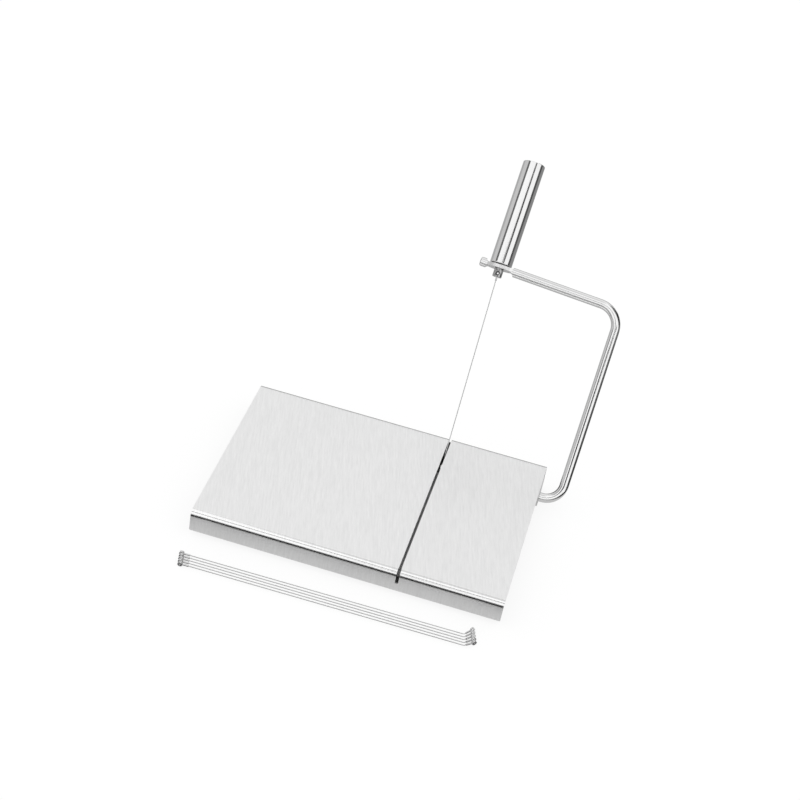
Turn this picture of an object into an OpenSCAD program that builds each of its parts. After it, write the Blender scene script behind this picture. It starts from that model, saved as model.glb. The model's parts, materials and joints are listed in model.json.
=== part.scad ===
// Wire cheese slicer: a folded steel board with a slot across it, and a bent
// rod arm that swings about a hidden pivot and carries a taut cutting wire.
// The handle screws down on a forked stud and tightens the wire.
// Millimetres, +Z up. The origin lies on the table under the board's middle,
// +X runs along the board towards the arm's upright, and +Y runs to the back.
// The arm is drawn standing up about its own pivot, X along the pivot rod and
// Z along its reach, and is then leaned back by arm_lean and set in place.

/* [Board] */
// Length of the board
board_len = 210; // [180:1:240]
// Depth of the board from front to back
board_depth = 147.6; // [140:0.2:170]
// Height of the folded board without its feet
board_h = 17.8; // [17:0.1:24]
// Thickness of the sheet
sheet_t = 1.2; // [0.8:0.1:1.6]
// Outer radius of the two upper folds
fold_r = 4.5; // [2.2:0.1:5]
// Outer radius of the two lower folds
low_fold_r = 3; // [2.2:0.1:5]
// Radius of the lower corners at the board's open ends
end_corner_r = 2.5; // [1.5:0.1:4]
// Width of the flanges turned in under the board
return_w = 14; // [13:0.5:18]

/* [Slot] */
// Width of the slot that the wire drops into
slot_w = 1.8; // [1.5:0.1:3]
// Width of the slot in the front face and its fold
slot_front_w = 2.2; // [2:0.1:4]
// Distance from the board's left end to the middle of the slot
slot_from_left = 140; // [120:1:145]
// How far the slot runs down the back of the board
slot_back_drop = 4; // [3:0.5:8]
// Rounding of the slot's lips at the back edge
slot_lip_r = 1.5; // [0.5:0.1:2.5]

/* [Feet] */
// Diameter of a rubber foot
foot_d = 9; // [6:0.5:9]
// Height of a foot under the board
foot_h = 2; // [1:0.1:5]
// Distance from the board's end to a foot's middle
foot_inset = 15; // [10:1:30]
// Diameter of the peg that holds a foot in its flange
foot_peg_d = 4; // [3:0.1:5]
// Height of a foot's barb above the flange
foot_barb_h = 1.5; // [1:0.1:2.5]
// How much wider the barb is than its hole, on each side
foot_barb_lip = 0.7; // [0.3:0.1:1]

/* [Pivot] */
// Distance from the board's front face to the pivot
pivot_from_front = 122.9; // [118:0.1:126]
// Height of the pivot above the board's lower edge
pivot_h = 8.1; // [7.8:0.1:9]
// Thickness of the bearing brackets
bracket_t = 1.5; // [1:0.1:2]
// Radius of a bracket's ear round the pivot
ear_r = 6.6; // [6:0.1:7.5]
// Width of an ear at its top
ear_top_w = 22.6; // [16:0.2:28]
// Length of the bracket's foot that is welded under the board
bracket_foot_len = 15; // [12:0.5:22]
// How far the outer bracket stands out past the board's end
bracket_proud = 0.6; // [0:0.1:1]
// Distance from the slot's middle to the inner bracket
inner_bracket_gap = 13.5; // [10:0.5:20]
// Wall of the bearing bushes
bush_wall = 1; // [0.8:0.1:1.5]
// How far a bush's flange stands out past its barrel
bush_flange_w = 1.4; // [0.8:0.1:1.8]
// Thickness of a bush's flange
bush_flange_t = 0.8; // [0.5:0.1:1.2]

/* [Arm] */
// Diameter of the rod
rod_d = 6.5; // [6:0.1:7]
// Reach of the arm from the pivot to its top corner
arm_reach = 140; // [138:1:160]
// Distance from the board's end to the upright, at the pivot's height
upright_out = 14.5; // [14:0.5:25]
// Angle by which the upright leans outwards
upright_lean = 2.2; // [0:0.1:4]
// Angle by which the arm's top rises towards the handle
top_rise = 4.4; // [0:0.1:6]
// Radius of the lower bend, to the rod's middle
lower_bend_r = 12.5; // [8:0.5:13]
// Radius of the upper bend, to the rod's middle
upper_bend_r = 15.5; // [8:0.5:20]
// Length of rod past the clip at the rod's inner end
rod_tail = 3; // [2:0.5:6]
// Lean of the open arm behind the upright, where its stop holds it
arm_lean = 42.8; // [35:0.1:50]

/* [Eye] */
// Diameter of the flattened eye under the handle
eye_d = 13; // [11:0.5:15]
// Thickness of the eye
eye_t = 2.4; // [2:0.1:3]
// Distance from the eye's middle to where its outline is as wide as the rod
eye_half = 9; // [8.5:0.1:9.5]
// Distance from the eye's middle over which the rod is pressed flat
flat_reach = 7.4; // [7:0.1:8]
// Radius of the step between the pressed flat and the full rod
press_r = 3; // [3:0.1:4]
// Height of the eye's middle over the rod's middle
eye_lift = 0.2; // [0:0.1:0.4]
// Tilt of the eye and the handle
eye_tilt = 2.3; // [0:0.1:5]
// Distance from the eye's middle to the rod's tip
stub_reach = 14.4; // [14:0.1:18]
// Radius of the rounded edge of the rod's tip
stub_nose_r = 1.2; // [0.8:0.1:1.5]

/* [Stop, anchor and clips] */
// Diameter of the stop pin
stop_pin_d = 3; // [2.5:0.1:3.5]
// Angle from the vertical at which the stop pin meets its bracket
stop_angle = 25; // [20:1:30]
// Distance from the outer ear to the stop pin
stop_pin_inset = 8; // [6:0.5:9]
// Gap between the stop pin and its bracket
stop_gap = 0.1; // [0.05:0.05:0.3]
// Diameter of the anchor pin's shank
anchor_pin_d = 1.2; // [1:0.1:1.2]
// Diameter of the anchor pin's head
anchor_head_d = 2.8; // [2.2:0.1:3.2]
// Thickness of the anchor pin's head
anchor_head_t = 0.8; // [0.5:0.1:1]
// Depth of the pins' holes in the rod
pin_hole_depth = 2.4; // [2:0.1:2.6]
// Outer diameter of a retaining clip
clip_d = 10.4; // [9:0.1:11]
// Thickness of a retaining clip
clip_t = 0.7; // [0.5:0.1:0.9]
// Depth of a clip's groove in the rod
clip_groove = 0.7; // [0.5:0.1:0.9]
// Angle that a clip's mouth leaves open
clip_mouth = 80; // [60:5:100]

/* [Wire and eyelets] */
// Diameter of the cutting wire
wire_d = 0.6; // [0.4:0.1:0.6]
// Length of a wire between the middles of its eyelets
wire_len = 195; // [188:1:198]
// Radius of the wire's turn where it leaves the pivot rod
wire_bend_r = 1.5; // [1:0.1:2]
// Diameter of the wire's hole through the pivot rod
wire_hole_d = 1.8; // [1.4:0.1:2]
// Length of the twisted neck beside an eyelet
twist_len = 4; // [2:0.5:6]
// Outer diameter of an eyelet
eyelet_d = 3.2; // [2.8:0.1:3.6]
// Diameter of an eyelet's hole
eyelet_hole_d = 1.3; // [1.3:0.1:1.5]
// Thickness of an eyelet
eyelet_t = 1.6; // [1.2:0.1:2]

/* [Tension stud] */
// Diameter of the fork that holds the upper eyelet
fork_d = 6.6; // [6.5:0.1:8]
// Length of the fork below the eye
fork_len = 5.8; // [5.6:0.1:9]
// Width of the slit between the fork's two prongs
fork_slit = 1.8; // [1.4:0.1:2.2]
// Distance from the eye's underside to the upper eyelet's middle
eyelet_drop = 3.2; // [3.2:0.1:4]
// Travel of the stud between a slack and a tight wire
stud_travel = 0.5; // [0.3:0.1:0.6]
// Diameter of the stud's thread
stud_d = 5; // [4:0.1:5.5]
// Width across the stud's two flats
stud_flats = 4; // [3.4:0.1:4]
// Height of the stud over the handle's nut
stud_over_nut = 3; // [2:0.5:8]

/* [Handle] */
// Diameter of the handle
handle_d = 15.8; // [14:0.1:18]
// Length of the handle
handle_len = 75.7; // [60:0.1:100]
// Wall of the handle's tube
handle_wall = 1.2; // [0.8:0.1:1.6]
// Chamfer of the tube's rims
handle_chamfer = 0.4; // [0.2:0.1:0.6]
// Length of the nut pressed into the handle's lower end
nut_len = 14; // [8:0.5:20]
// Thickness of the plug in the handle's upper end
cap_t = 3; // [2:0.5:6]
// Depth of the plug under the tube's rim
cap_recess = 0.3; // [0.1:0.1:1]
// Diameter of the washer under the handle
washer_d = 14; // [12:0.5:14]
// Thickness of the washer
washer_t = 0.5; // [0.4:0.1:1]

/* [Spare wires] */
// Distance from the board's left end to the first spare eyelet's middle
spare_start = 2.8; // [0:0.1:6]
// Distance from the board's front face to the first spare wire's left end
spare_gap_left = 20.5; // [18:0.5:30]
// Distance from the board's front face to the first spare wire's bend
spare_gap_right = 18; // [18:0.5:30]
// Spacing of the spare wires at their left ends
spare_pitch_left = 2.4; // [2.3:0.1:4]
// Spacing of the spare wires at their right ends
spare_pitch_right = 2.4; // [2.3:0.1:4]
// How much further right each spare wire lies than the one behind it
spare_stagger = 0.6; // [0.5:0.1:2]
// Length of a spare wire's bent right end
spare_hook_len = 8; // [8:0.5:14]
// Radius of the bend at a spare wire's right end
spare_hook_r = 2; // [2:0.5:3]
// Angle of the bend in the spare wire at the back
spare_hook_angle = 54; // [50:1:60]
// How much less each spare wire is bent than the one behind it
spare_hook_fan = 3; // [3:0.5:5]

/* [Hidden] */
// Radial gap of a shaft that turns or slides in a hole
running_gap = 0.05;
// Gap between pieces that are pressed together
press_gap = 0.02;
// Gap between flat faces that turn or slide past each other
face_gap = 0.2;
// Gap round the wire's lowest place at the slot's end
wire_rest_gap = 0.05;
// Gap round an eyelet in its seat
eyelet_gap = 0.1;
// How far a cut runs past the face that it cuts
overrun = 1;
// Height of the chamfers on pins and rod ends
end_chamfer = 0.5;
// How much deeper the rod is pressed than the faces of its eye
press_step = 0.1;
// How much smaller a bar's radius is in its bends
bend_thinning = 0.02;
// How far a straight bar laps over a bend
bar_lap = 0.1;
// Facets of a full circle
$fn = 96;

// Places on the board
half_len = board_len / 2;
half_depth = board_depth / 2;
board_top = foot_h + board_h;
sheet_under = board_top - sheet_t;
slot_x = slot_from_left - half_len;
pivot_y = pivot_from_front - half_depth;
pivot_z = foot_h + pivot_h;
slot_front_z = pivot_z - wire_d / 2 - wire_rest_gap;
foot_y = half_depth - (low_fold_r + return_w) / 2;

// Bearings along the pivot rod
bush_d = rod_d + 2 * (running_gap + bush_wall);
outer_ear_x = half_len + bracket_proud - bracket_t;
inner_ear_x = slot_x - inner_bracket_gap - bracket_t;
outer_clip_x = inner_ear_x + bracket_t + bush_flange_t + face_gap;
inner_clip_x = inner_ear_x - face_gap - clip_t;
rod_start_x = inner_clip_x - rod_tail;

// Corners of the arm's middle line, in the standing arm's own X and Z
rod_r = rod_d / 2;
low_corner_x = half_len + upright_out;
top_corner_x = low_corner_x + arm_reach * tan(upright_lean);
low_turn = 90 - upright_lean;
top_turn = 90 + upright_lean - top_rise;
low_setback = lower_bend_r * tan(low_turn / 2);
top_setback = upper_bend_r * tan(top_turn / 2);
pivot_len = low_corner_x - low_setback - rod_start_x;
upright_len = arm_reach / cos(upright_lean) - low_setback - top_setback;

// Eye at the end of the arm's top, so that the upper eyelet in the fork lies
// straight over the slot
eyelet_depth = eye_t / 2 + eyelet_drop;
eye_x = slot_x + eyelet_depth * sin(eye_tilt);
eye_z = arm_reach + (top_corner_x - eye_x) * tan(top_rise) + eye_lift;
eye_side_r = (eye_half * eye_half + pow((eye_d - rod_d) / 2, 2)) / (eye_d - rod_d);
top_len = (top_corner_x - eye_x + stub_reach) / cos(top_rise) - top_setback;
hook_z = eye_z - eyelet_depth * cos(eye_tilt);

// Route of the fitted wire along the pivot rod to its anchor
wire_r = wire_d / 2;
loop_r = eyelet_d / 2 - wire_r;
lay_z = rod_r + eyelet_gap + eyelet_t / 2;
span_len = hook_z + lay_z - wire_bend_r;
turn_len = PI * wire_bend_r / 2;
lay_len = wire_len - span_len - turn_len;
anchor_x = slot_x + wire_bend_r + lay_len;

// Stop pin
stop_x = outer_ear_x - stop_pin_inset;
stop_rise = sheet_under - bracket_t - pivot_z;
stop_dome_r = stop_pin_d / 2;
stop_reach = (stop_rise - stop_gap - stop_dome_r) / cos(stop_angle);

// Handle, from the eye's upper face outwards
eye_top = eye_t / 2;
handle_base = eye_top + washer_t + face_gap;
thread_start = handle_base + stud_travel + face_gap;
tube_bore_r = handle_d / 2 - handle_wall;
nut_top = handle_base + nut_len;

// Spare wires
spare_z = eyelet_d / 2 + press_gap;
spare_straight = wire_len - spare_hook_len;

// Shared shapes and places

// Upper strip of a rectangle about its middle, with two round corners
module round_strip(width, height, radius) {
    translate([0, (height - radius) / 2])
        square([width - 2 * radius, radius], center = true);
    for (side = [-1, 1])
        translate([side * (width / 2 - radius), height / 2 - radius])
            circle(r = radius);
}

// Rectangle about its middle whose upper and lower corners are round
module round_rect(width, height, upper_r, lower_r) {
    translate([0, (lower_r - upper_r) / 2])
        square([width, height - upper_r - lower_r], center = true);
    round_strip(width, height, upper_r);
    mirror([0, 1])
        round_strip(width, height, lower_r);
}

// Turns an outline drawn in Y and Z into a solid along X, from X = 0
module along_x(length) {
    rotate([90, 0, 90])
        linear_extrude(height = length)
            children();
}

// Round bar along +Z with a chamfer at its far end
module chamfered_bar(radius, length, chamfer) {
    cylinder(r = radius, h = length - chamfer);
    translate([0, 0, length - chamfer])
        cylinder(r1 = radius, r2 = radius - chamfer, h = chamfer);
}

// Straight round bar along +X that laps a little over both its ends; what
// follows it starts at its far end
module bar_run(radius, length) {
    translate([-bar_lap, 0, 0])
        rotate([0, 90, 0])
            cylinder(r = radius, h = length + 2 * bar_lap);
    translate([length, 0, 0])
        children();
}

// Turn of a round bar, drawn a little thinner: starts at the origin along +X
// and bends towards +Z; what follows it starts at its far end, again along +X
module bar_turn(bend_r, radius, angle) {
    translate([0, 0, bend_r]) {
        rotate([90, 90, 0])
            rotate_extrude(angle = angle)
                translate([bend_r, 0])
                    circle(r = radius - bend_thinning);
        rotate([0, -angle, 0])
            translate([0, 0, -bend_r])
                children();
    }
}

// Sets the standing arm in its rest place, leaned back on its stop
module arm_place() {
    translate([0, pivot_y, pivot_z])
        rotate([-arm_lean, 0, 0])
            children();
}

// Sets what is drawn about the eye's middle in its place on the standing arm,
// with Z along the handle
module eye_at() {
    translate([eye_x, 0, eye_z])
        rotate([0, eye_tilt, 0])
            children();
}

// The same on the arm in its rest place
module eye_place() {
    arm_place()
        eye_at()
            children();
}

// Cross-section of the stud where it is kept from turning
module flatted_circle(diameter, across) {
    intersection() {
        circle(d = diameter);
        square([diameter, across], center = true);
    }
}

// Board

module board_profile() {
    difference() {
        round_rect(board_depth, board_h, fold_r, low_fold_r);
        round_rect(board_depth - 2 * sheet_t, board_h - 2 * sheet_t, fold_r - sheet_t,
                   low_fold_r - sheet_t);
        translate([0, -board_h / 2])
            square([board_depth - 2 * return_w, board_h], center = true);
    }
}

// Side view of the slot: down the front face, over the top and down the back
module slot_profile() {
    front = -half_depth - overrun;
    back = half_depth + overrun;
    front_inside = -half_depth + fold_r;
    back_inside = half_depth - fold_r;
    over_top = board_top + overrun;
    under_top = sheet_under - overrun;
    back_low = board_top - slot_back_drop;
    polygon([
        [front, slot_front_z], [front_inside, slot_front_z], [front_inside, under_top],
        [back_inside, under_top], [back_inside, back_low], [back, back_low],
        [back, over_top], [front, over_top]
    ]);
}

// Plan view of the slot's rounded lips at the back edge
module slot_mouth() {
    reach = slot_w / 2 + slot_lip_r;
    difference() {
        translate([-reach, 0])
            square([2 * reach, slot_lip_r + overrun]);
        for (side = [-1, 1])
            translate([side * reach, 0])
                circle(r = slot_lip_r);
    }
}

// Front view of what is cut from a lower corner at the board's right end
module end_corner() {
    difference() {
        translate([half_len - end_corner_r, foot_h - overrun])
            square(end_corner_r + overrun);
        translate([half_len - end_corner_r, foot_h + end_corner_r])
            circle(r = end_corner_r);
    }
}

module board_sheet() {
    color("gainsboro")
        difference() {
            translate([-half_len, 0, foot_h + board_h / 2])
                along_x(board_len)
                    board_profile();
            translate([slot_x - slot_w / 2, 0, 0])
                along_x(slot_w)
                    slot_profile();
            translate([slot_x - slot_front_w / 2, -half_depth - overrun, slot_front_z])
                cube([slot_front_w, fold_r + overrun, board_h]);
            translate([slot_x, half_depth - slot_lip_r, board_top - slot_back_drop])
                linear_extrude(height = slot_back_drop + overrun)
                    slot_mouth();
            for (side = [0, 180])
                rotate([90, 0, side])
                    linear_extrude(height = 2 * board_depth, center = true)
                        end_corner();
            for (side = [-1, 1], end = [-1, 1])
                translate([side * (half_len - foot_inset), end * foot_y, foot_h - overrun])
                    cylinder(d = foot_peg_d, h = sheet_t + 2 * overrun);
        }
}

// Rubber foot: a disc under the flange, a peg through it and a barb above
module foot(side, end) {
    color("dimgray")
        translate([side * (half_len - foot_inset), end * foot_y, 0]) {
            cylinder(d = foot_d, h = foot_h);
            cylinder(d = foot_peg_d - 2 * running_gap, h = foot_h + sheet_t + running_gap);
            translate([0, 0, foot_h + sheet_t + running_gap])
                cylinder(d1 = foot_peg_d + 2 * foot_barb_lip, d2 = foot_peg_d - foot_barb_lip,
                         h = foot_barb_h);
        }
}

// Brackets and bushes

// Outline of a bracket's ear about the pivot: straight flanks that run down
// to touch the round lower end
module ear_outline() {
    rise = sheet_under - pivot_z;
    corner = [ear_top_w / 2, rise];
    touch_angle = atan2(rise, ear_top_w / 2) - acos(ear_r / norm(corner));
    touch = [ear_r * cos(touch_angle), ear_r * sin(touch_angle)];
    circle(r = ear_r);
    polygon([corner, touch, [0, 0], [-touch[0], touch[1]], [-corner[0], rise]]);
}

// Bracket with its ear at ear_x and its foot welded under the board
module bracket(ear_x) {
    color("silver")
        difference() {
            union() {
                translate([ear_x, pivot_y, pivot_z])
                    along_x(bracket_t)
                        ear_outline();
                translate([ear_x + bracket_t - bracket_foot_len, pivot_y - ear_top_w / 2,
                           sheet_under - bracket_t])
                    cube([bracket_foot_len, ear_top_w, bracket_t]);
            }
            translate([ear_x - overrun, pivot_y, pivot_z])
                along_x(bracket_t + 2 * overrun)
                    circle(d = bush_d + 2 * press_gap);
        }
}

// Bush in the ear that starts at ear_x; flange_side is where its flange lies
module bush(ear_x, flange_side) {
    flange_x = flange_side > 0 ? ear_x + bracket_t : ear_x - bush_flange_t;
    barrel_x = flange_side > 0 ? ear_x : flange_x;
    color("darkslategray")
        translate([0, pivot_y, pivot_z])
            difference() {
                union() {
                    translate([barrel_x, 0, 0])
                        along_x(bracket_t + bush_flange_t)
                            circle(d = bush_d);
                    translate([flange_x, 0, 0])
                        along_x(bush_flange_t)
                            circle(d = bush_d + 2 * bush_flange_w);
                }
                translate([barrel_x - overrun, 0, 0])
                    along_x(bracket_t + bush_flange_t + 2 * overrun)
                        circle(r = rod_r + running_gap);
            }
}

// Arm

// Round bar along +Z whose far end has a rounded edge
module round_nosed_bar(radius, length, nose_r) {
    rotate_extrude() {
        square([radius, length - nose_r]);
        square([radius - nose_r, length]);
        translate([radius - nose_r, length - nose_r])
            circle(r = nose_r);
    }
}

// Straight and bent lengths of the rod, from its inner end to its tip
module arm_bar() {
    translate([low_corner_x - low_setback, 0, 0]) {
        translate([bar_lap, 0, 0])
            rotate([0, -90, 0])
                chamfered_bar(rod_r, pivot_len + bar_lap, end_chamfer);
        bar_turn(lower_bend_r, rod_r, low_turn)
            bar_run(rod_r, upright_len)
                bar_turn(upper_bend_r, rod_r, top_turn)
                    translate([-bar_lap, 0, 0])
                        rotate([0, 90, 0])
                            round_nosed_bar(rod_r, top_len + bar_lap, stub_nose_r);
    }
}

// What the press takes from the rod over and under the eye: a flat that ends
// in two hollow steps
module press_cut() {
    level = eye_t / 2 - press_step;
    for (side = [-1, 1])
        rotate([side * 90, 0, 0])
            linear_extrude(height = 2 * rod_d, center = true) {
                translate([-flat_reach, level])
                    square([2 * flat_reach, rod_d]);
                for (end = [-1, 1])
                    translate([end * flat_reach, level + press_r])
                        circle(r = press_r);
            }
}

// Spread metal of the eye: a plate whose rounded sides run into the rod
module eye_plate() {
    linear_extrude(height = eye_t, center = true)
        intersection() {
            translate([0, eye_side_r - eye_d / 2])
                circle(r = eye_side_r);
            translate([0, eye_d / 2 - eye_side_r])
                circle(r = eye_side_r);
        }
}

module arm_rod() {
    color("silver")
        arm_place()
            difference() {
                union() {
                    difference() {
                        arm_bar();
                        eye_at()
                            press_cut();
                    }
                    eye_at()
                        eye_plate();
                }
                eye_at()
                    linear_extrude(height = 2 * eye_t, center = true)
                        flatted_circle(stud_d + 2 * running_gap, stud_flats + 2 * running_gap);
                translate([slot_x, 0, -rod_d])
                    cylinder(d = wire_hole_d, h = 2 * rod_d);
                translate([anchor_x, 0, -rod_d])
                    cylinder(d = anchor_pin_d + 2 * press_gap, h = rod_r + pin_hole_depth);
                stop_pin_place()
                    translate([0, 0, rod_r - pin_hole_depth])
                        cylinder(d = stop_pin_d + 2 * press_gap, h = rod_d);
                for (groove_x = [inner_clip_x, outer_clip_x])
                    translate([groove_x - press_gap, 0, 0])
                        along_x(clip_t + 2 * press_gap)
                            difference() {
                                circle(r = rod_r + overrun);
                                circle(r = rod_r - clip_groove);
                            }
            }
}

// Direction of the stop pin: stop_angle in front of the vertical when open
module stop_pin_place() {
    translate([stop_x, 0, 0])
        rotate([arm_lean + stop_angle, 0, 0])
            children();
}

// Pin pressed into the rod; its dome meets the bracket's foot
module stop_pin() {
    color("gray")
        arm_place()
            stop_pin_place() {
                translate([0, 0, rod_r - pin_hole_depth])
                    cylinder(r = stop_dome_r, h = stop_reach - rod_r + pin_hole_depth);
                translate([0, 0, stop_reach])
                    sphere(r = stop_dome_r);
            }
}

// Headed pin on the rod's far side that holds the lower eyelet
module anchor_pin() {
    head_z = rod_r + eyelet_t + 2 * eyelet_gap;
    color("gray")
        arm_place()
            translate([anchor_x, 0, 0])
                mirror([0, 0, 1]) {
                    translate([0, 0, rod_r - pin_hole_depth + press_gap])
                        cylinder(d = anchor_pin_d, h = head_z - rod_r + pin_hole_depth);
                    translate([0, 0, head_z])
                        cylinder(d1 = anchor_head_d, d2 = anchor_pin_d, h = anchor_head_t);
                }
}

// Spring clip in a groove of the rod, open at its mouth
module retaining_clip(clip_x) {
    color("gray")
        arm_place()
            translate([clip_x, 0, 0])
                rotate([0, 90, 0])
                    rotate([0, 0, clip_mouth / 2])
                        rotate_extrude(angle = 360 - clip_mouth)
                            translate([rod_r - clip_groove + press_gap, 0])
                                square([clip_d / 2 - rod_r + clip_groove - press_gap, clip_t]);
}

// Wires and eyelets

// Grooved ring about the origin, its axis along Z
module eyelet() {
    color("silver")
        rotate_extrude()
            difference() {
                translate([eyelet_hole_d / 2, -eyelet_t / 2])
                    square([(eyelet_d - eyelet_hole_d) / 2, eyelet_t]);
                translate([loop_r, 0])
                    circle(r = wire_r + press_gap);
                translate([loop_r, -wire_r - press_gap])
                    square([eyelet_d, wire_d + 2 * press_gap]);
            }
}

// Loop of wire round an eyelet at the origin, its axis along Z, with the
// twisted neck towards +X
module wire_loop() {
    rotate_extrude()
        translate([loop_r, 0])
            circle(r = wire_r);
    translate([loop_r + wire_r + press_gap, 0, 0])
        rotate([0, 90, 0])
            cylinder(r = wire_d, h = twist_len);
}

module hook_place() {
    arm_place()
        translate([slot_x, 0, hook_z])
            children();
}

module upper_eyelet() {
    hook_place()
        rotate([90, 0, 0])
            eyelet();
}

module lower_eyelet() {
    arm_place()
        translate([anchor_x, 0, -lay_z])
            eyelet();
}

// Fitted wire: from the fork straight down through the pivot rod, round its
// far side and along it to the anchor
module cutting_wire() {
    color("whitesmoke")
        hook_place()
            rotate([0, 90, 0]) {
                rotate([90, 0, 0])
                    wire_loop();
                translate([loop_r, 0, 0])
                    bar_run(wire_r, span_len - loop_r)
                        bar_turn(wire_bend_r, wire_r, 90)
                            bar_run(wire_r, lay_len - loop_r)
                                translate([loop_r, 0, 0])
                                    rotate([0, 0, 180])
                                        wire_loop();
            }
}

// Tension stud and handle

module tension_stud() {
    fork_top = -eye_top - face_gap;
    color("silver")
        eye_place()
            difference() {
                union() {
                    translate([0, 0, -eye_top - fork_len])
                        cylinder(d = fork_d, h = fork_len - face_gap);
                    translate([0, 0, fork_top])
                        linear_extrude(height = thread_start - fork_top)
                            flatted_circle(stud_d, stud_flats);
                    translate([0, 0, thread_start])
                        chamfered_bar(stud_d / 2, nut_top + stud_over_nut - thread_start,
                                      end_chamfer);
                }
                for (level = [0, stud_travel])
                    translate([0, 0, level - eyelet_depth])
                        rotate([90, 0, 0])
                            cylinder(d = eyelet_d + 2 * eyelet_gap, h = 2 * fork_d, center = true);
                translate([-eyelet_d / 2 - eyelet_gap, -fork_d, -eyelet_depth])
                    cube([eyelet_d + 2 * eyelet_gap, 2 * fork_d, stud_travel]);
                translate([-fork_slit / 2, -fork_d, -eye_top - fork_len - overrun])
                    cube([fork_slit, 2 * fork_d, fork_len - eyelet_drop + overrun]);
            }
}

module handle_washer() {
    color("black")
        eye_place()
            translate([0, 0, eye_top])
                difference() {
                    cylinder(d = washer_d, h = washer_t);
                    translate([0, 0, -overrun])
                        cylinder(d = stud_d + 2 * face_gap, h = washer_t + 2 * overrun);
                }
}

module handle_tube() {
    outer_r = handle_d / 2;
    color("silver")
        eye_place()
            translate([0, 0, handle_base])
                rotate_extrude()
                    polygon([
                        [tube_bore_r, 0], [outer_r - handle_chamfer, 0], [outer_r, handle_chamfer],
                        [outer_r, handle_len - handle_chamfer], [outer_r - handle_chamfer, handle_len],
                        [tube_bore_r, handle_len]
                    ]);
}

module handle_nut() {
    color("darkgray")
        eye_place()
            translate([0, 0, handle_base])
                difference() {
                    cylinder(r = tube_bore_r - press_gap, h = nut_len);
                    translate([0, 0, -overrun])
                        cylinder(d = stud_d + 2 * running_gap, h = nut_len + 2 * overrun);
                }
}

module handle_cap() {
    color("silver")
        eye_place()
            translate([0, 0, handle_base + handle_len - cap_recess - cap_t])
                chamfered_bar(tube_bore_r - press_gap, cap_t, handle_chamfer);
}

// Spare wires, numbered from the back; their eyelets stand on edge

// Runs the children along a spare wire: first its straight length in X, then
// what is built on its bent end
module spare_place(index) {
    start_y = -half_depth - spare_gap_left - index * spare_pitch_left;
    bend_y = -half_depth - spare_gap_right - index * spare_pitch_right;
    translate([spare_start - half_len + index * spare_stagger, start_y, spare_z])
        rotate([-90, 0, asin((bend_y - start_y) / spare_straight)])
            children();
}

function spare_angle(index) = spare_hook_angle - index * spare_hook_fan;
function spare_end_len(index) = spare_hook_len - spare_hook_r * spare_angle(index) * PI / 180;

module spare_wire(index) {
    color("whitesmoke")
        spare_place(index) {
            wire_loop();
            translate([loop_r, 0, 0])
                bar_run(wire_r, spare_straight - loop_r)
                    bar_turn(spare_hook_r, wire_r, spare_angle(index))
                        bar_run(wire_r, spare_end_len(index) - loop_r)
                            translate([loop_r, 0, 0])
                                rotate([0, 0, 180])
                                    wire_loop();
        }
}

module spare_eyelets(index) {
    spare_place(index) {
        eyelet();
        translate([spare_straight, 0, 0])
            translate([0, 0, spare_hook_r])
                rotate([0, -spare_angle(index), 0])
                    translate([spare_end_len(index), 0, -spare_hook_r])
                        eyelet();
    }
}

board_sheet();
bracket(outer_ear_x);  // outer_bracket
bracket(inner_ear_x);  // inner_bracket
bush(outer_ear_x, -1);  // outer_bush
bush(inner_ear_x, 1);  // inner_bush
foot(-1, -1);  // foot_front_left
foot(1, -1);  // foot_front_right
foot(-1, 1);  // foot_back_left
foot(1, 1);  // foot_back_right
arm_rod();
stop_pin();
anchor_pin();
retaining_clip(inner_clip_x);  // inner_clip
retaining_clip(outer_clip_x);  // outer_clip
cutting_wire();
upper_eyelet();
lower_eyelet();
tension_stud();
handle_washer();
handle_tube();
handle_nut();
handle_cap();
spare_wire(0);  // spare_wire_1
spare_wire(1);  // spare_wire_2
spare_wire(2);  // spare_wire_3
spare_wire(3);  // spare_wire_4
spare_wire(4);  // spare_wire_5
spare_eyelets(0);  // spare_eyelets_1
spare_eyelets(1);  // spare_eyelets_2
spare_eyelets(2);  // spare_eyelets_3
spare_eyelets(3);  // spare_eyelets_4
spare_eyelets(4);  // spare_eyelets_5
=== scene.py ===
import json
import math

import bmesh
import bpy
from mathutils import Euler, Matrix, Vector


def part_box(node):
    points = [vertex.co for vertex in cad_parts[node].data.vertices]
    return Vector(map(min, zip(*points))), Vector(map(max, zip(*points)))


# Wire cheese slicer: the finish of each piece, and the studio and camera of the
# photograph. Metres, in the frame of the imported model.

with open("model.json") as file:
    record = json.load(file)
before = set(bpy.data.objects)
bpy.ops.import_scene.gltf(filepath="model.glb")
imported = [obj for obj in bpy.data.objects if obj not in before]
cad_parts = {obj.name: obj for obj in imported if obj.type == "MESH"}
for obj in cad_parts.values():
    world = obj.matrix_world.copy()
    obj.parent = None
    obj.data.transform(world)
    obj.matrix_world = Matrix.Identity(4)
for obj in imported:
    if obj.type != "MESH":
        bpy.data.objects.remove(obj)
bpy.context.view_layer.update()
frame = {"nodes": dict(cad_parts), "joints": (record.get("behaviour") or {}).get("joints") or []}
nodes = frame["nodes"]

# Camera, fitted to the photograph: place in metres, turn about X, Y and Z in
# degrees, lens and sensor in millimetres, and near limit in metres
CAMERA_PLACE = (0.12957, -0.89214, 0.78832)
CAMERA_TURN = (51.96, -8.664, 14.702)
CAMERA_LENS = 79.36
CAMERA_SENSOR = 36.0
CAMERA_NEAR = 0.01

# Floor: half its side, how far it lies under the feet, how far the patch of painted shade under the
# board keeps inside the board's edges, and the colour of the paper and of that patch, a little
# darker as painted shade
FLOOR_HALF = 6.0
FLOOR_DROP = 0.0002
SHADE_PATCH_INSET = 0.009
PAPER_LEVEL = 0.95
SHADE_PATCH_LEVEL = 0.9

# Plain white that the camera sees in place of the floor: its strength, and its share on the paper
# and on the patch of painted shade under the board
WHITE_STRENGTH = 1.02
PAPER_GLOW = 0.85
SHADE_PATCH_GLOW = 0.03
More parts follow.
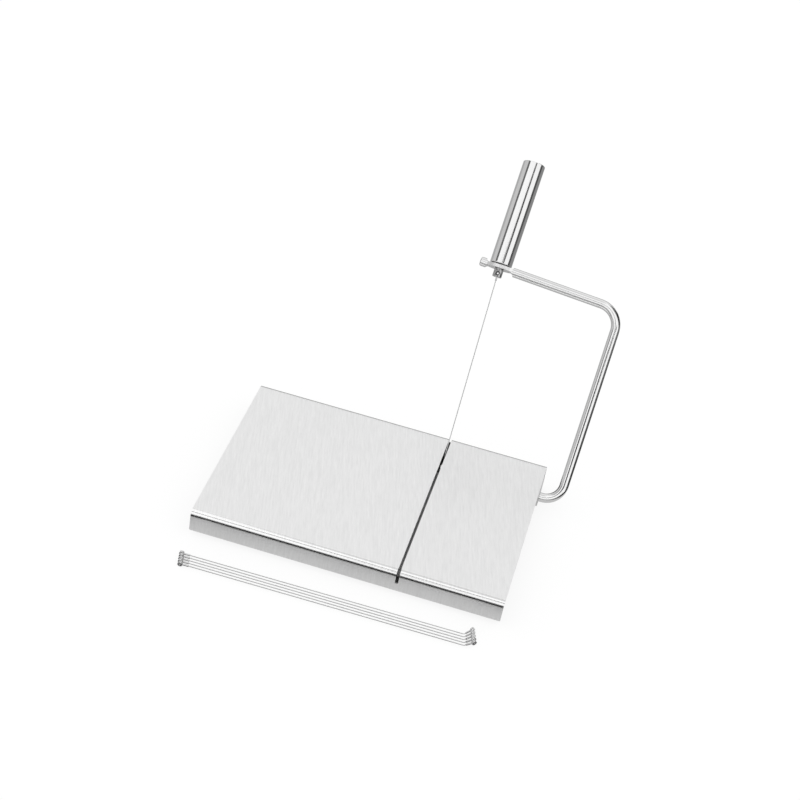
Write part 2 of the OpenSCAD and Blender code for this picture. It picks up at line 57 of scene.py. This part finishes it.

# Brightness of the floor as metal sees it, and of the patch under the board, painted nearly black as
# shade
FLOOR_MIRRORED = 0.58
SHADE_PATCH_MIRRORED = 0.02

# Patches of the floor that metal sees in another brightness, each over those
# before it: east from and to, north from and to, brightness
FLOOR_PATCHES = {
    "behind the board": (-FLOOR_HALF, FLOOR_HALF, 0.1, FLOOR_HALF, 0.45),
    "right of the board": (0.15, FLOOR_HALF, -FLOOR_HALF, FLOOR_HALF, 0.26),
    "dark sheet on the right": (0.15, 0.55, -0.1, 0.3, 0.02),
    "far in front": (-FLOOR_HALF, FLOOR_HALF, -FLOOR_HALF, -0.4, 0.75),
    "dark strip in front": (-FLOOR_HALF, FLOOR_HALF, -0.4, -0.094, 0.02),
}

# Brightness of the studio's walls as metal sees them, by azimuth in degrees: 0 is
# in front of the board and 90 to its right
FULL_TURN = 360.0
STUDIO_WALLS = [
    (-180, 0.86), (-150, 0.86), (-125, 0.6), (-61, 0.6), (-59, 1.05), (90, 1.0),
    (92, 0.1), (106, 0.1), (109, 0.28), (135, 0.28), (150, 0.86), (180, 0.86),
]

# Softbox and cards that stand before the walls, each over those before it: azimuth
# from and to, height from and to in degrees, brightness
STUDIO_CARDS = {
    "low grey behind, left": (-180, -155, -90, 22, 0.4),
    "low grey behind, right": (155, 180, -90, 22, 0.4),
    "grey pillar in front, left": (-60, -48, -90, 40, 0.5),
    "low dark in front": (-48, 60, -90, 7, 0.02),
    "softbox overhead": (-180, 180, 66, 90, 1.05),
    "dim softbox edge, back left": (-180, -130, 68, 80, 0.7),
    "dim softbox edge, back right": (150, 180, 68, 80, 0.7),
    "dim softbox middle": (-180, 180, 80, 90, 0.7),
    "tall dark on the left": (-79, -70, 27, 66, 0.14),
    "tall dark beside it": (-70, -60, 31, 66, 0.14),
    "high dark, right of the front": (26, 36, 47, 52, 0.08),
    "high dark beside it": (36, 49, 42.5, 50, 0.08),
    "high black, left of the front": (-20, -1, 45.5, 51, 0.02),
    "high black in front": (-1, 22, 42, 51.5, 0.02),
    "small grey in front": (-7, -3, 28, 36, 0.5),
    "low black on the right": (72, 92, -10, 15, 0.02),
    "broad dark, back right": (100, 150, 0, 45, 0.04),
}

# Board: the grain's frequency along each axis, its turn about the upright one and
# how much it varies the colour
BOARD_GRAIN = (900.0, 75.0, 130.0)
BOARD_GRAIN_TURN = math.radians(-14.0)
BOARD_TINT = 0.13

# Board: brightness and roughness of its flats, upper folds and inside; the inside's brightness is
# painted shade, darker because the inside lies in shade
BOARD_LEVEL = 0.935
BOARD_ROUGHNESS = 0.36
FOLD_ROUGHNESS = 0.1
INSIDE_PAINTED_SHADE = 0.22
INSIDE_ROUGHNESS = 0.5

# Board: radius of the upper folds, how far below the top their smooth band starts
# and ends, and the sheet's thickness less a hair
FOLD_RADIUS = 0.0045
FOLD_BAND_TOP = 0.0001
FOLD_BAND_BOTTOM = 0.0038
SHEET_SKIN = 0.001

# Pressed eye of the rod: how far its dull surface reaches, and its roughness
EYE_REACH = 0.0085
EYE_ROUGHNESS = 0.4

# Frequency of the grain along each axis: rolled steel and small pieces. Each has a
# broader grain too, at a share of that frequency
ROLLED_GRAIN = (500.0, 500.0, 120.0)
SMALL_GRAIN = (300.0, 300.0, 300.0)
BROAD_GRAIN_SHARE = 1.0 / 3.0

# Stretch that makes polishing marks run as upright hairlines
HAIRLINE = (1.0, 1.0, 0.06)

# Numbers of the spare wires
SPARES = range(1, 6)


# Node helpers

def link(tree, source, target):
    tree.links.new(source, target)


def feed(tree, value, socket):
    """Gives a socket a number, or the value that another socket puts out."""
    if isinstance(value, (int, float)):
        socket.default_value = value
    else:
        link(tree, value, socket)


def maths(tree, operation, first, second=None, clamp=False):
    node = tree.nodes.new("ShaderNodeMath")
    node.operation = operation
    node.use_clamp = clamp
    feed(tree, first, node.inputs[0])
    if second is not None:
        feed(tree, second, node.inputs[1])
    return node.outputs[0]


def both(tree, first, second):
    """1 where two masks are 1."""
    return maths(tree, "MULTIPLY", first, second)


def within(tree, value, low, high):
    """1 where a value lies between low and high, else 0."""
    return both(tree, maths(tree, "GREATER_THAN", value, low), maths(tree, "LESS_THAN", value, high))


def mixture(tree, first, second, share):
    """A share of the first value with the rest of the second."""
    return maths(tree, "ADD", maths(tree, "MULTIPLY", first, share),
                 maths(tree, "MULTIPLY", second, 1.0 - share))


def hypotenuse(tree, first, second):
    squares = maths(tree, "ADD", maths(tree, "MULTIPLY", first, first),
                    maths(tree, "MULTIPLY", second, second))
    return maths(tree, "SQRT", squares)


def overlay(tree, under, level, mask):
    """The value under, or level where the mask is 1."""
    kept = maths(tree, "MULTIPLY", under, maths(tree, "SUBTRACT", 1.0, mask))
    return maths(tree, "ADD", kept, maths(tree, "MULTIPLY", mask, level))


def patched(tree, level, across, along, patches):
    """Lays rectangular patches over a level, each over those before it."""
    for left, right, near, far, value in patches.values():
        patch = both(tree, within(tree, across, left, right), within(tree, along, near, far))
        level = overlay(tree, level, value, patch)
    return level


def vary(tree, factor, middle, swing):
    """Lets a value vary about its middle by a share of it."""
    node = tree.nodes.new("ShaderNodeMapRange")
    node.inputs["To Min"].default_value = middle * (1.0 - swing)
    node.inputs["To Max"].default_value = middle * (1.0 + swing)
    link(tree, factor, node.inputs["Value"])
    return node.outputs[0]


def object_place(tree):
    return tree.nodes.new("ShaderNodeTexCoord").outputs["Object"]


def split(tree, vector):
    """The three parts of a vector."""
    node = tree.nodes.new("ShaderNodeSeparateXYZ")
    link(tree, vector, node.inputs[0])
    return node.outputs


def distance_to(tree, vector, point):
    node = tree.nodes.new("ShaderNodeVectorMath")
    node.operation = "DISTANCE"
    link(tree, vector, node.inputs[0])
    node.inputs[1].default_value = point
    return node.outputs["Value"]


def stretched(tree, vector, scale=(1.0, 1.0, 1.0), turn=(0.0, 0.0, 0.0)):
    mapping = tree.nodes.new("ShaderNodeMapping")
    mapping.inputs["Scale"].default_value = scale
    mapping.inputs["Rotation"].default_value = turn
    link(tree, vector, mapping.inputs["Vector"])
    return mapping.outputs[0]


def noise(tree, vector, scale=1.0, detail=3.0, roughness=0.55):
    node = tree.nodes.new("ShaderNodeTexNoise")
    node.inputs["Scale"].default_value = scale
    node.inputs["Detail"].default_value = detail
    node.inputs["Roughness"].default_value = roughness
    link(tree, vector, node.inputs["Vector"])
    return node.outputs[0]


def grey(value):
    return (value, value, value)


def darker(colour, share):
    return tuple(part * (1.0 - share) for part in colour)


def lighter(colour, share):
    return tuple(min(1.0, part * (1.0 + share)) for part in colour)


def ramp(tree, factor, stops):
    node = tree.nodes.new("ShaderNodeValToRGB")
    elements = node.color_ramp.elements
    for index, (place, colour) in enumerate(stops):
        element = elements[index] if index < 2 else elements.new(place)
        element.position = place
        element.color = tuple(colour) + (1.0,)
    link(tree, factor, node.inputs[0])
    return node.outputs[0]


def two_tone(tree, factor, low, high, margin=0.3):
    """Turns from the low to the high colour, each kept over a margin at its end."""
    return ramp(tree, factor, [(margin, low), (1.0 - margin, high)])


def bump(tree, shader, height, distance, strength):
    node = tree.nodes.new("ShaderNodeBump")
    node.inputs["Distance"].default_value = distance
    node.inputs["Strength"].default_value = strength
    link(tree, height, node.inputs["Height"])
    link(tree, node.outputs[0], shader.inputs["Normal"])


def mixed_shader(tree, share, first, second):
    """The first shader with a share of the second."""
    node = tree.nodes.new("ShaderNodeMixShader")
    feed(tree, share, node.inputs[0])
    link(tree, first, node.inputs[1])
    link(tree, second, node.inputs[2])
    return node.outputs[0]


def seen_by(tree):
    """1 where a camera ray meets the surface, and 1 where a mirror or glass ray does."""
    path = tree.nodes.new("ShaderNodeLightPath")
    mirror = maths(tree, "ADD", path.outputs["Is Glossy Ray"],
                   path.outputs["Is Transmission Ray"], clamp=True)
    return path.outputs["Is Camera Ray"], mirror


# Materials

def new_material(name, metallic=0.0):
    material = bpy.data.materials.new(name)
    material.use_nodes = True
    tree = material.node_tree
    shader = tree.nodes["Principled BSDF"]
    shader.inputs["Metallic"].default_value = metallic
    return material, tree, shader


def section_reach(tree, depth, height, low, high):
    """How far a point lies from the middle of the board's rounded section, which is
    one fold radius on the sheet's outer side."""
    past_front = maths(tree, "SUBTRACT", low.y + FOLD_RADIUS, depth)
    past_back = maths(tree, "SUBTRACT", depth, high.y - FOLD_RADIUS)
    past_side = maths(tree, "MAXIMUM", past_front, past_back)
    past_top = maths(tree, "SUBTRACT", height, high.z - FOLD_RADIUS)
    return hypotenuse(tree, maths(tree, "MAXIMUM", past_side, 0.0),
                      maths(tree, "MAXIMUM", past_top, 0.0))


def board_metal(name):
    """Steel brushed on its flats, smoother on its upper folds, and dull on its inside and its
    turned-in flanges, whose colour is painted darker as shade."""
    material, tree, shader = new_material(name, metallic=1.0)
    place = object_place(tree)
    turned = stretched(tree, place, turn=(0.0, 0.0, BOARD_GRAIN_TURN))
    streaks = noise(tree, stretched(tree, turned, BOARD_GRAIN), detail=4.0, roughness=0.65)
    low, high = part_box("board_sheet")
    depth, height = split(tree, place)[1:]
    on_fold = within(tree, height, high.z - FOLD_BAND_BOTTOM, high.z - FOLD_BAND_TOP)
    inside = maths(tree, "LESS_THAN", section_reach(tree, depth, height, low, high),
                   FOLD_RADIUS - SHEET_SKIN)

    # The inside is painted dark, as the shade under the board
    level = overlay(tree, BOARD_LEVEL, INSIDE_PAINTED_SHADE, inside)
    level = maths(tree, "MULTIPLY", level, vary(tree, streaks, 1.0, BOARD_TINT))
    link(tree, level, shader.inputs["Base Color"])
    rough = overlay(tree, BOARD_ROUGHNESS, FOLD_ROUGHNESS, on_fold)
    rough = overlay(tree, rough, INSIDE_ROUGHNESS, inside)
    rough = maths(tree, "MULTIPLY", rough, vary(tree, streaks, 1.0, swing=0.15))
    link(tree, rough, shader.inputs["Roughness"])
    bump(tree, shader, streaks, distance=0.00002, strength=0.4)
    return material


def brushed_metal(name, colour, roughness, grain, depth, tint=0.04):
    """Metal with fine and broad grain that is depth deep."""
    material, tree, shader = new_material(name, metallic=1.0)
    place = object_place(tree)
    broad_grain = tuple(part * BROAD_GRAIN_SHARE for part in grain)
    fine = noise(tree, stretched(tree, place, grain), detail=4.0, roughness=0.6)
    broad = noise(tree, stretched(tree, place, broad_grain), detail=2.0)
    mixed = mixture(tree, fine, broad, share=0.65)
    link(tree, two_tone(tree, mixed, darker(colour, tint), lighter(colour, tint)),
         shader.inputs["Base Color"])
    link(tree, vary(tree, mixed, roughness, swing=0.2), shader.inputs["Roughness"])
    bump(tree, shader, fine, distance=depth, strength=0.4)
    return material


def small_metal(name, colour, roughness, depth=0.00002):
    """Brushed metal with the even grain of small turned, drawn or pressed pieces."""
    return brushed_metal(name, colour, roughness, SMALL_GRAIN, depth)


def polished_metal(name, colour, roughness, pressed_at=None):
    """Polished metal with faint smears and hairline polishing marks, dull round the
    middle of a pressed eye."""
    material, tree, shader = new_material(name, metallic=1.0)
    place = object_place(tree)
    smears = noise(tree, place, scale=60.0)
    hairs = noise(tree, stretched(tree, place, HAIRLINE), scale=900.0, detail=2.0)
    link(tree, two_tone(tree, smears, darker(colour, share=0.03), colour, margin=0.35),
         shader.inputs["Base Color"])
    rough = vary(tree, mixture(tree, smears, hairs, share=0.5), roughness, swing=0.4)
    if pressed_at:
        on_eye = maths(tree, "LESS_THAN", distance_to(tree, place, pressed_at), EYE_REACH)
        rough = overlay(tree, rough, EYE_ROUGHNESS, on_eye)
    link(tree, rough, shader.inputs["Roughness"])
    bump(tree, shader, hairs, distance=0.000002, strength=0.2)
    return material


def moulded(name, colour, roughness, grain_scale, depth):
    """Moulded rubber or nylon with a fine cast texture."""
    material, tree, shader = new_material(name)
    texture = noise(tree, object_place(tree), grain_scale, detail=4.0, roughness=0.6)
    link(tree, two_tone(tree, texture, darker(colour, share=0.2), lighter(colour, share=0.25)),
         shader.inputs["Base Color"])
    link(tree, vary(tree, texture, roughness, swing=0.15), shader.inputs["Roughness"])
    bump(tree, shader, texture, distance=depth, strength=0.5)
    return material


def joint_place(name):
    """Where the frame puts a joint."""
    return next(joint["pos_m"] for joint in frame["joints"] if joint["name"] == name)


def set_material(piece, material):
    piece.data.materials.clear()
    piece.data.materials.append(material)


def dress(material, *names):
    for name in names:
        set_material(nodes[name], material)


def dress_board():
    dress(board_metal("board_steel"), "board_sheet")
    dress(brushed_metal("bracket_steel", grey(0.7), roughness=0.38, grain=ROLLED_GRAIN,
                        depth=0.00003),
          "outer_bracket", "inner_bracket")
    dress(moulded("bush_nylon", grey(0.03), roughness=0.45, grain_scale=900.0, depth=0.00003),
          "outer_bush", "inner_bush")
    dress(moulded("foot_rubber", grey(0.025), roughness=0.75, grain_scale=700.0, depth=0.00005),
          "foot_front_left", "foot_front_right", "foot_back_left", "foot_back_right")


def dress_arm():
    # The rod's eye is pressed round the axis that the handle turns about
    dress(polished_metal("rod_steel", grey(0.9), roughness=0.09,
                         pressed_at=joint_place("handle_turn")),
          "arm_rod")
    dress(small_metal("pin_steel", grey(0.6), roughness=0.3), "stop_pin", "anchor_pin")
    dress(small_metal("clip_steel", (0.33, 0.34, 0.36), roughness=0.35),
          "inner_clip", "outer_clip")


def dress_handle():
    dress(polished_metal("handle_steel", grey(0.9), roughness=0.08), "handle_tube", "handle_cap")
    dress(small_metal("nut_brass", (0.78, 0.58, 0.28), roughness=0.25), "handle_nut")
    dress(moulded("washer_nylon", grey(0.02), roughness=0.5, grain_scale=900.0, depth=0.00003),
          "handle_washer")
    dress(polished_metal("stud_steel", grey(0.5), roughness=0.1), "tension_stud")


def dress_wires():
    dress(small_metal("wire_steel", grey(0.7), roughness=0.2, depth=0.00001),
          "cutting_wire", *[f"spare_wire_{spare}" for spare in SPARES])
    dress(small_metal("eyelet_steel", grey(0.97), roughness=0.55),
          "lower_eyelet", *[f"spare_eyelets_{spare}" for spare in SPARES])
    # The upper eyelet is painted near black as the shade of the fork round it
    dress(small_metal("shaded_eyelet_steel", grey(0.12), roughness=0.25), "upper_eyelet")


# Stage: camera, floor and world

def make_camera():
    data = bpy.data.cameras.new("camera")
    data.lens = CAMERA_LENS
    data.sensor_width = CAMERA_SENSOR
    data.clip_start = CAMERA_NEAR
    camera = bpy.data.objects.new("camera", data)
    bpy.context.scene.collection.objects.link(camera)
    turn = Euler([math.radians(angle) for angle in CAMERA_TURN], "XYZ")
    camera.matrix_world = Matrix.Translation(CAMERA_PLACE) @ turn.to_matrix().to_4x4()
    bpy.context.scene.camera = camera


def floor_paper():
    """White paper with a patch of painted shade under the board. The camera sees the paper as nearly
    plain white and the patch in its own shade, a little darkened, and metal sees the paper in set
    levels and the patch painted nearly black as shade."""
    material = bpy.data.materials.new("floor_paper")
    material.use_nodes = True
    tree = material.node_tree
    tree.nodes.clear()
    output = tree.nodes.new("ShaderNodeOutputMaterial")
    east, north = split(tree, object_place(tree))[:2]
    low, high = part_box("board_sheet")
    # Patch under the board, painted darker as shade
    on_shade_patch = both(tree, within(tree, east, low.x + SHADE_PATCH_INSET, high.x - SHADE_PATCH_INSET),
                  within(tree, north, low.y + SHADE_PATCH_INSET, high.y - SHADE_PATCH_INSET))

    paper = tree.nodes.new("ShaderNodeBsdfDiffuse")
    link(tree, overlay(tree, PAPER_LEVEL, SHADE_PATCH_LEVEL, on_shade_patch), paper.inputs["Color"])
    white = tree.nodes.new("ShaderNodeEmission")
    white.inputs["Strength"].default_value = WHITE_STRENGTH
    glow = overlay(tree, PAPER_GLOW, SHADE_PATCH_GLOW, on_shade_patch)
    camera_look = mixed_shader(tree, glow, paper.outputs[0], white.outputs[0])

    mirrored = tree.nodes.new("ShaderNodeEmission")
    level = patched(tree, FLOOR_MIRRORED, east, north, FLOOR_PATCHES)
    # Metal sees the patch under the board painted nearly black as shade
    link(tree, overlay(tree, level, SHADE_PATCH_MIRRORED, on_shade_patch), mirrored.inputs["Color"])
    camera_ray, mirror_ray = seen_by(tree)
    other_look = mixed_shader(tree, mirror_ray, paper.outputs[0], mirrored.outputs[0])
    link(tree, mixed_shader(tree, camera_ray, other_look, camera_look), output.inputs["Surface"])
    return material


def make_floor():
    mesh = bpy.data.meshes.new("floor")
    shape = bmesh.new()
    bmesh.ops.create_grid(shape, x_segments=2, y_segments=2, size=FLOOR_HALF)
    bmesh.ops.translate(shape, verts=shape.verts, vec=(0.0, 0.0, -FLOOR_DROP))
    shape.to_mesh(mesh)
    shape.free()
    floor = bpy.data.objects.new("floor", mesh)
    bpy.context.scene.collection.objects.link(floor)
    set_material(floor, floor_paper())


def make_world():
    """A white world, in which metal sees the studio's walls, softbox and cards."""
    world = bpy.data.worlds.new("studio")
    bpy.context.scene.world = world
    world.use_nodes = True
    tree = world.node_tree
    tree.nodes.clear()
    output = tree.nodes.new("ShaderNodeOutputWorld")
    direction = tree.nodes.new("ShaderNodeTexCoord").outputs["Generated"]
    east, north, up = split(tree, direction)
    south = maths(tree, "MULTIPLY", north, -1.0)
    azimuth = maths(tree, "DEGREES", maths(tree, "ARCTAN2", east, south))
    height = maths(tree, "DEGREES", maths(tree, "ARCSINE", up))

    round_share = maths(tree, "ADD", maths(tree, "DIVIDE", azimuth, FULL_TURN), 0.5)
    stops = [(place / FULL_TURN + 0.5, grey(value)) for place, value in STUDIO_WALLS]
    walls = ramp(tree, round_share, stops)
    studio = tree.nodes.new("ShaderNodeBackground")
    link(tree, patched(tree, walls, azimuth, height, STUDIO_CARDS), studio.inputs["Color"])
    white = tree.nodes.new("ShaderNodeBackground")
    white.inputs["Color"].default_value = (1.0, 1.0, 1.0, 1.0)
    camera_ray, mirror_ray = seen_by(tree)
    look = mixed_shader(tree, mirror_ray, white.outputs[0], studio.outputs[0])
    link(tree, look, output.inputs["Surface"])


dress_board()
dress_arm()
dress_handle()
dress_wires()
make_camera()
make_floor()
make_world()
bpy.context.scene.view_settings.view_transform = "Standard"
